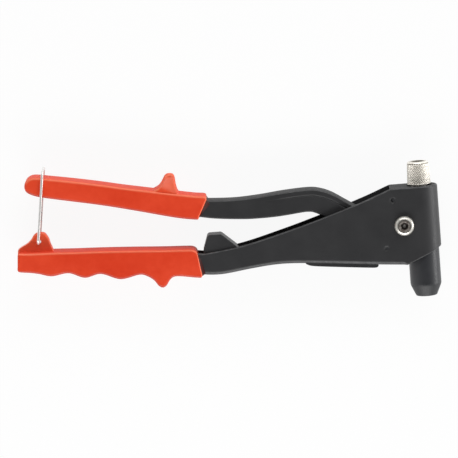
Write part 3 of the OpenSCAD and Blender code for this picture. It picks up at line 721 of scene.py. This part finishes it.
def gripPillow(skin, line, own):
    # rounded slab along the grip's outline, rounder at its tip, with a mouth where the metal comes out
    s = gripShape
    u, shrink, mark, chains = matchedChains(smoothLine(line, 24), s["samples"], s["half"] - own["metalHalf"])
    r = s["round"] + (own["tipRound"] - s["round"]) * (1 - step01(u, *s["tipShare"]))
    crown = s["crown"] * step01(u, *s["crownShare"])
    pillow(skin, chains, s["half"], r, shrink, crown, edgeRows=s["edgeRows"], mark=mark)


def finPillow(skin):
    # the fin is drawn lying on its side, so that its top is the tip, then turned back; it thins towards the top
    s = finShape
    line = smoothLine(turnHandle(s["line"]), 16)
    u, _, _, chains = matchedChains(np.column_stack([-line[:, 1], line[:, 0]]), s["samples"])
    upright = [np.column_stack([c[:, 1], -c[:, 0]]) for c in chains]
    half = s["tipHalf"] + (s["baseHalf"] - s["tipHalf"]) * np.minimum(u / s["baseAt"], 1)
    # glow is a painted highlight on the fin's upper part, fading out towards its base
    pillow(skin, upright, half, s["round"], mark=s["glow"] * (1 - step01(u, *s["glowFade"])))


def lug(skin):
    # plate round a hole: each ray from the hole's centre runs from the hole's wall to the outline, and a closed
    # section goes up the hole, out over the near face, round the rim and back over the far face
    s = lugShape
    hole = np.array(s["hole"])
    rim = smoothLine(np.vstack([s["root"][:1], np.array(s["rim"]) + hole, s["root"][1:2]]), 10)
    line = np.vstack([rim, s["root"][2:], rim[:1]]) - hole
    fine = np.vstack([a + (b - a) * np.linspace(0, 1, 12)[:-1, None] for a, b in zip(line[:-1], line[1:])])
    bearing = np.unwrap(np.arctan2(fine[:, 1], fine[:, 0]))
    t = np.linspace(bearing[0], bearing[0] + fullTurn, s["turns"], endpoint=False)
    reach = np.interp(t, bearing, np.hypot(fine[:, 0], fine[:, 1]))
    q = np.linspace(0, quarterTurn, 6)
    r, h, g = s["round"], s["half"], s["holeEdge"]
    sweep = np.hstack([q[::-1], q])  # quarter turn to the outline's widest place and on from it
    side = np.repeat([-1.0, 1.0], len(q))
    outer = reach[:, None] - r * (1 - np.cos(sweep))
    edgeZ = side * (h - r + r * np.sin(sweep))
    holeR = s["holeRound"] + g * (1 - np.cos(sweep))
    holeZ = -side * (h - g + g * np.sin(sweep))
    radius = np.hstack([outer, holeR + 0 * outer])
    z = np.hstack([edgeZ, holeZ]) + 0 * radius
    p = np.stack([hole[0] + radius * np.cos(t)[:, None], hole[1] + radius * np.sin(t)[:, None], z], -1)
    mark = np.hstack([np.abs(np.sin(2 * sweep)), 0 * holeZ])[None, :]
    # painted highlight on the lug's rounded rim and painted light over the whole lug
    skin.grid(p, closeRows=True, closeCols=True, edge=mark * s["rimGlow"] + s["glow"])


def makeGrips():
    # each grip is its rounded slab with the lug or the fin
    lower, upper = Skin(), Skin()
    gripPillow(lower, lowerShape["line"], lowerShape)
    lug(lower)
    gripPillow(upper, turnHandle(upperShape["line"]), upperShape)
    finPillow(upper)
    lower.make("lowerGrip", gripVinyl, "frame", "grip_red", "lower_grip", sharp=50)
    upper.make("upperGrip", gripVinyl, "lever", "grip_red", "upper_grip", sharp=50)


makeGrips()


leverShape = dict(
    half=7.5, round=1.0, samples=320, rows=64, joint=-24.0, grooveDepth=0.3, grooveWidth=0.5, grooveBelow=3.4,
    grooveFrom=(-98, -76),
    top=((-22, 52.9), (-30, 54.8), (-38, 58.4), (-46.7, 63.9), (-54.5, 69), (-61.8, 72), (-69.2, 73.1), (-84.3, 72.5),
        (-99.5, 71.1), (-114.6, 70.4), (-129.5, 71.1), (-140, 72.3), (-148, 73.6)),
    under=((-148, 63.7), (-134, 60.6), (-126.7, 59.4), (-115.5, 58.2), (-104.3, 57.5), (-89.2, 57.7), (-74, 59),
        (-70.3, 59.1), (-66.6, 58.4), (-58, 54.2), (-48, 49.6), (-34, 44.6), (-22, 41.3)))


def makeLever():
    # rounded slab between the lever's upper and lower line, from inside the grip to the fork
    s = leverShape
    skin = Skin()
    over = evenly(smoothLine(turnHandle(s["top"]), 24)[::-1], s["samples"])
    under = evenly(smoothLine(turnHandle(s["under"]), 24), s["samples"])
    depth = np.linalg.norm(over - under, axis=1)

    def groove(x, v):
        # shallow line at a set distance below the upper edge, fading out along the handle; pillow darkens it with
        # painted shade
        below = v * depth[None, :]
        return (s["grooveDepth"] * np.exp(-((below - s["grooveBelow"]) / s["grooveWidth"]) ** 2)
                * step01(x, *s["grooveFrom"]))

    chains = [over, -inwardNormals(over), under, inwardNormals(under)]
    pillow(skin, chains, s["half"], s["round"], dent=groove, faceRows=s["rows"])
    skin.make("leverBar", leverCoat, "lever", "lever_black", "lever_bar", sharp=40)


def makeFork():
    # the lever's fork inside the head is the solid's own, cut from a merged copy of it
    copy = bmesh.new()
    copy.from_mesh(nodes["lever_bar"].data)
    bmesh.ops.remove_doubles(copy, verts=copy.verts, dist=meshLimits["solidMerge"])
    cut = bmesh.ops.bisect_plane(
        copy, geom=copy.verts[:] + copy.edges[:] + copy.faces[:], dist=meshLimits["sliver"],
        plane_co=((leverShape["joint"] + drawingOrigin[0]) * mm, 0, 0), plane_no=(1, 0, 0), clear_inner=True)
    bmesh.ops.holes_fill(copy, edges=[e for e in cut["geom_cut"] if isinstance(e, bmesh.types.BMEdge)])
    mesh = bpy.data.meshes.new("leverFork")
    copy.to_mesh(mesh)
    copy.free()
    settle("leverFork", mesh, leverCoat, "lever", "lever_bar", sharp=30)


makeLever()
makeFork()


knobShape = dict(
    r=7.35, topR=6.75, low=70.25, high=84.5, foot=0.35, hubR=4.9, hubLow=63.006, boreR=3.6, boreDepth=3.4,
    diamonds=30, slope=0.95, depth=0.42, crest=1.9, turns=408, rows=116, collar=1.5, collarFade=0.5,
    groove=(1.4, 1.05, 0.28), chamfer=(0.9, 0.02, 0.8), ease=(0.15, 0.18), valleyShadeWidth=4.2,
    grooveShade=(1.48, 0.95, 5.0), boreShade=(0.3, 4.0))


def makeKnob():
    # knurl: two sets of slanting ridges, n(angle + slope h / r) and n(angle - slope h / r), whose lower one is kept
    s = knobShape
    skin = Skin()
    low, high, foot, top = s["low"], s["high"], s["foot"], s["topR"]
    side = np.column_stack([np.linspace(s["r"], top, s["rows"]),
                            np.linspace(low + foot, high - s["collar"], s["rows"])])
    below = easedLine([(0, s["hubLow"]), (s["hubR"], s["hubLow"]), (s["hubR"], low), (s["r"] - foot, low),
                       (s["r"], low + foot)], s["ease"][0])
    grooveLow, grooveHigh, grooveIn = s["groove"]
    chamferLow, chamferOut, chamferIn = s["chamfer"]
    bore, floor = s["boreR"], high - s["boreDepth"]
    above = easedLine([(top, high - s["collar"]), (top - grooveIn, high - grooveLow),
                       (top - grooveIn, high - grooveHigh), (top - chamferOut, high - chamferLow),
                       (top - chamferIn, high), (bore, high), (bore, floor), (0, floor)], s["ease"][1])
    profile = np.vstack([below, side[1:-1], above])
    r, h = profile[:, :1], profile[:, 1:]
    inSide = np.zeros((len(profile), 1))
    inSide[len(below):len(below) + s["rows"] - 2] = 1
    fadeEnd = high - s["collar"]
    fade = inSide * step01(h, low + foot, low + 2 * foot) * (1 - step01(h, fadeEnd - s["collarFade"], fadeEnd))

    def ridge(phase):
        return np.abs((phase / fullTurn) % 1.0 * 2 - 1)

    def knurl(h, t):
        lean = s["slope"] * h / s["r"]
        return np.minimum(ridge(s["diamonds"] * (t + lean)), ridge(s["diamonds"] * (t - lean)))

    def knurled(r, h, t):
        return r - s["depth"] * fade * (1 - np.clip(knurl(h, t) * s["crest"], 0, 1))

    t = np.linspace(0, fullTurn, s["turns"], endpoint=False)[None, :]
    shadeLow, shadeHigh, shadeFromR = s["grooveShade"]
    boreWide, boreLow = s["boreShade"]
    inGroove = (h > high - shadeLow) & (h < high - shadeHigh) & (r > shadeFromR)
    inBore = (r < bore + boreWide) & (h > high - boreLow)
    # painted shade in the knurl's valleys, the groove under the top and the bore
    valleyShade = np.maximum(np.clip(1.0 - knurl(h, t) * s["valleyShadeWidth"], 0, 1) * fade, inGroove | inBore)
    revolved(skin, profile, s["turns"], radius=knurled, edge=valleyShade)
    skin.make("turnKnob", nickelKnob, "spindle", "nickel", "turn_knob", sharp=46)


pivotShape = dict(
    r=6.1, high=3.3, seat=11.2, flatShare=0.55, rimShare=0.28, rimEase=0.2, hex=2.25, hexDepth=2.0,
    hexLead=(0.25, 0.2), hexPoint=0.5, hexEase=0.12, hexReach=(0.2, 0.3), screw=(2.5, -5.1, 11.3),
    sleeve=(4.0, -11.3, 11.1), bore=-5.2, turns=96, screwTurns=48, sleeveTurns=64)


def pivotHead(skin, sign):
    # button head: a flat rim, a dome of an ellipse's quarter and a hex socket whose radius is the flat's over the
    # cosine of the angle to the nearest flat
    s = pivotShape
    a, r, hexR, deep = s["high"], s["r"], s["hex"], s["high"] - s["hexDepth"]
    flat, rim = s["flatShare"], s["rimShare"]
    q = np.linspace(0, quarterTurn, 16)
    dome = np.column_stack([flat * r + (1 - flat) * r * np.cos(q), rim * a + (1 - rim) * a * np.sin(q)])
    leadOut, leadDown = s["hexLead"]
    socket = easedLine([(flat * r, a), (hexR + leadOut, a), (hexR, a - leadDown), (hexR, deep),
                        (0, deep - s["hexPoint"])], s["hexEase"], 4)
    profile = np.vstack([easedLine([(0, 0), (r, 0), dome[0]], s["rimEase"]), dome[1:], socket[1:]])
    reach, floor = s["hexReach"]
    inHex = (profile[:, :1] <= hexR + reach) * (profile[:, 1:] > floor)

    def hexed(rad, h, t):
        away = (t + math.pi / 6) % (math.pi / 3) - math.pi / 6
        return rad * (1 + inHex * (1 / np.cos(away) - 1))

    profile[:, 1] = sign * (s["seat"] + profile[:, 1])
    revolved(skin, profile, s["turns"], "z", pivotAt, hexed)


def makePivot():
    # screw and nut: a head each, with a shank or a hollow sleeve as a section turned about the pivot
    s = pivotShape
    screw, nut = Skin(), Skin()
    inner, low, high = s["screw"]
    shank = [(0, low), (inner, low), (inner, high), (0, high)]
    outer, low, high = s["sleeve"]
    bore = s["bore"]
    sleeve = [(inner, bore), (inner, high), (outer, high), (outer, low), (0, low), (0, bore), (inner, bore)]
    pivotHead(screw, 1)
    revolved(screw, np.array(shank), s["screwTurns"], "z", pivotAt)
    pivotHead(nut, -1)
    revolved(nut, np.array(sleeve), s["sleeveTurns"], "z", pivotAt)
    screw.make("pivotScrew", nickelPivot, "frame", "nickel", "pivot_screw", sharp=38)
    nut.make("pivotNut", nickelPivot, "frame", "nickel", "pivot_nut", sharp=38)


noseShape = dict(
    r=9.7, tipR=6.5, cone=7.2, coneShade=0.35, seat=30.8, seatStep=0.3, barrelR=9.45, blockLow=32.0, neckR=7.0,
    blockHigh=36.0, boreR=6.0, ease=1.1, turns=128, anvilR=5.0, anvilLen=10.0, anvilBore=3.35, anvilLead=(0.2, 0.35),
    anvilEase=0.35, anvilTurns=96)


def makeNose():
    # barrel and anvil are closed sections turned about the mandrel's axis; the barrel's cone is painted a little
    # darker, painted shade, and is a little rougher
    s = noseShape
    barrel, anvil = Skin(), Skin()
    leadOut, leadUp = s["anvilLead"]
    r, barrelR, neckR, boreR, fitR = s["r"], s["barrelR"], s["neckR"], s["boreR"], s["anvilR"]
    seat, low, high, length = s["seat"], s["blockLow"], s["blockHigh"], s["anvilLen"]
    line = easedLine([(fitR, leadUp), (fitR + leadOut, 0), (s["tipR"], 0), (r, s["cone"]), (r, seat),
                      (barrelR, seat + s["seatStep"]), (barrelR, low), (neckR, low), (neckR, high), (boreR, high),
                      (boreR, length), (fitR, length), (fitR, leadUp)], s["ease"], 8)
    revolved(barrel, line, s["turns"], edge=-s["coneShade"] * (line[:, 1:] < s["cone"]))
    middle, bore = (fitR, length / 2), s["anvilBore"]
    ring = easedLine([middle, (fitR, 0), (bore, 0), (bore, length), (fitR, length), middle], s["anvilEase"])
    revolved(anvil, ring, s["anvilTurns"])
    barrel.make("noseBarrel", noseCoat, "frame", "nose_black", "nose_barrel", sharp=30)
    anvil.make("anvilRing", turnedSteel, "frame", "steel", "anvil", sharp=30)


mandrelShape = dict(
    r=3.0, tip=0.4, lead=0.8, high=66.0, endR=2.0, threadHigh=24.0, threadRows=240, runIn=(0.5, 1.2), runOut=1.0,
    pitch=1.0, threadDepth=0.42, rootR=2.5, turns=48)


def makeMandrel():
    # screw thread: the radius falls by a triangle wave of height less one pitch for each turn
    s = mandrelShape
    skin = Skin()
    r, tip, high, end = s["r"], s["tip"], s["high"], s["threadHigh"]
    thread = np.linspace(tip + s["lead"], end, s["threadRows"])
    profile = np.vstack([[(0, tip), (r - s["lead"], tip)], np.column_stack([0 * thread + r, thread]),
                         [(r, end + s["runOut"]), (r, high), (s["endR"], high), (0, high)]])
    start, full = s["runIn"]
    height = profile[:, 1:]
    cut = step01(height, tip + start, tip + full) * (1 - step01(height, end - s["runOut"], end))

    def threaded(r, h, t):
        wave = np.abs(((h - s["pitch"] * t / fullTurn) / s["pitch"]) % 1.0 * 2 - 1)
        return r - s["threadDepth"] * cut * (1 - wave) * (r > s["rootR"])

    revolved(skin, profile, s["turns"], radius=threaded)
    skin.make("mandrelScrew", turnedSteel, "spindle", "steel", "mandrel", sharp=40)


makeKnob()
makePivot()
makeNose()
makeMandrel()


bailShape = dict(wireR=0.8, length=45.0, width=23.0, bend=2.6, lean=math.radians(8.0), endGap=0.4, sides=20)


def makeBail():
    # round wire carried along a rectangle with rounded corners, open inside the lug, leaned over about the hole
    s = bailShape
    skin = Skin()
    half, b, length = s["width"] / 2, s["bend"], s["length"]
    q = np.linspace(0, quarterTurn, 12)
    foot = np.column_stack([b - b * np.cos(q), half - b + b * np.sin(q)])  # along the leg, across
    head = np.column_stack([length - b + b * np.sin(q), half - b + b * np.cos(q)])
    entry = np.linspace((0, s["endGap"]), (0, half - b), 11)[:-1]
    leg = np.linspace((b, half), (length - b, half), 40)[1:-1]
    bar = np.linspace((length, half - b), (length, 0), 13)[1:]
    side = np.vstack([entry, foot, leg, head, bar])
    path = np.vstack([side, (side * (1, -1))[::-1][1:]])
    hole = lugShape["hole"]
    along, across = path[:, 0], path[:, 1]
    line = np.column_stack([hole[0] + along * math.sin(s["lean"]), hole[1] + along * math.cos(s["lean"]), across])
    tube(skin, line, s["wireR"], s["sides"])
    skin.make("wireBail", wireSteel, "bail", "steel", "wire_bail", sharp=50)


makeBail()

keptFinish = {
    "grip_plug": nylon, "nose_block": turnedSteel, "guide_bush": bushBronze, "spring_seat": turnedSteel,
    "return_spring": wireSteel, "thrust_washers": nylon, "cross_pins": noseCoat, "pivot_bushes": bushBronze,
    "draw_sleeve": turnedSteel, "trunnion_bushes": bushBronze, "knob_screw": noseCoat, "mandrel_ring": turnedSteel,
    "thrust_bearing": bushBronze,
}
for name, material in keptFinish.items():
    nodes[name].data.materials.clear()
    nodes[name].data.materials.append(material)
print("kept", len(keptFinish), "inner solids")


stageLook = dict(
    floorSize=6.0, floorTone=0.92, floorRough=0.9, seenWhite=0.92, horizon=1.0, zenith=0.08, rise=(0.35, 0.90),
    leftRight=(0.72, 1.12))
lampLook = dict(
    keyLight=dict(at=(0.10, 0.95, 0.60), size=(1.3, 0.45), power=4.7),
    frontLight=dict(at=(-0.10, -0.98, 0.66), size=(1.4, 0.5), power=10.3),
    sideLight=dict(at=(1.05, 0.05, 0.13), size=(0.8, 0.2), power=3.4))


def makeFloor():
    # white sweep: what the camera and reflections see is mostly plain white, the rest is a lit floor with the shadow
    s = stageLook
    half = s["floorSize"] / 2
    mesh = bpy.data.meshes.new("floor")
    mesh.from_pydata([(-half, -half, 0), (half, -half, 0), (half, half, 0), (-half, half, 0)], [], [(0, 1, 2, 3)])
    floor = addObject("floor", mesh)
    f = Finish("floorWhite")
    f.feed((s["floorTone"],) * 3 + (1,), s["floorRough"])
    kinds = ("Is Camera Ray", "Is Glossy Ray", "Is Transmission Ray")
    camera, glossy, through = (f.node("ShaderNodeLightPath", out=kind) for kind in kinds)
    white = f.node("ShaderNodeEmission", {}, {"Color": (1, 1, 1, 1), "Strength": 1.0})
    seen = (camera + glossy + through) * s["seenWhite"]
    f.plug(f.output, "Surface", f.node("ShaderNodeMixShader", {}, {0: seen, 1: f.lit, 2: white}))
    mesh.materials.append(f.material)


def makeLight(name, look):
    lamp = bpy.data.lights.new(name, "AREA")
    lamp.shape, lamp.energy = "RECTANGLE", look["power"]
    lamp.size, lamp.size_y = look["size"]
    addAt(name, lamp, look["at"], (-Vector(look["at"])).to_track_quat("-Z", "Y"))  # turned to the origin


def makeWorld():
    # light tent: white at the horizon, which is the backdrop, and dark overhead where the camera looks in
    s = stageLook
    world = bpy.data.worlds.new("studio")
    bpy.context.scene.world = world
    tree = Tree(world, "ShaderNodeOutputWorld")
    view = tree.node("ShaderNodeTexCoord", out="Generated")
    across, up = (tree.node("ShaderNodeSeparateXYZ", {}, {0: view}, axis) for axis in "XZ")
    tent = tree.ramp(up, *s["rise"], s["horizon"], s["zenith"]) * tree.ramp(across, -1, 1, *s["leftRight"])
    back = tree.node("ShaderNodeBackground", {}, {"Color": (1, 1, 1, 1), "Strength": tent})
    tree.plug(tree.output, "Surface", back)


cameraLook = dict(
    target=(1.1, 2.06, 14.5), distance=2400.0, tilt=math.radians(8.0), roll=math.radians(4.4), pixel=0.625, image=458,
    sensor=36.0, clip=(0.05, 20.0))


def makeCamera():
    # the camera leans from straight above towards the knob, and is rolled so that the mandrel leans to the left
    c = cameraLook
    right = Vector((math.cos(c["roll"]), -math.sin(c["roll"]), 0))
    upFlat = Vector((math.sin(c["roll"]), math.cos(c["roll"]), 0))
    back = Vector((0, 0, 1)) * math.cos(c["tilt"]) + upFlat * math.sin(c["tilt"])
    up = back.cross(right)
    view = bpy.data.cameras.new("camera")
    view.sensor_width = c["sensor"]
    view.lens = c["sensor"] * c["distance"] / (c["pixel"] * c["image"])
    view.clip_start, view.clip_end = c["clip"]
    place = (Vector(c["target"]) + back * c["distance"]) * mm
    bpy.context.scene.camera = addAt("camera", view, place, Matrix((right, up, back)).transposed().to_quaternion())


makeFloor()
for name, look in lampLook.items():
    makeLight(name, look)
makeWorld()
makeCamera()
bpy.context.scene.view_settings.view_transform = "Standard"
print("studio set")

bpy.context.view_layer.update()
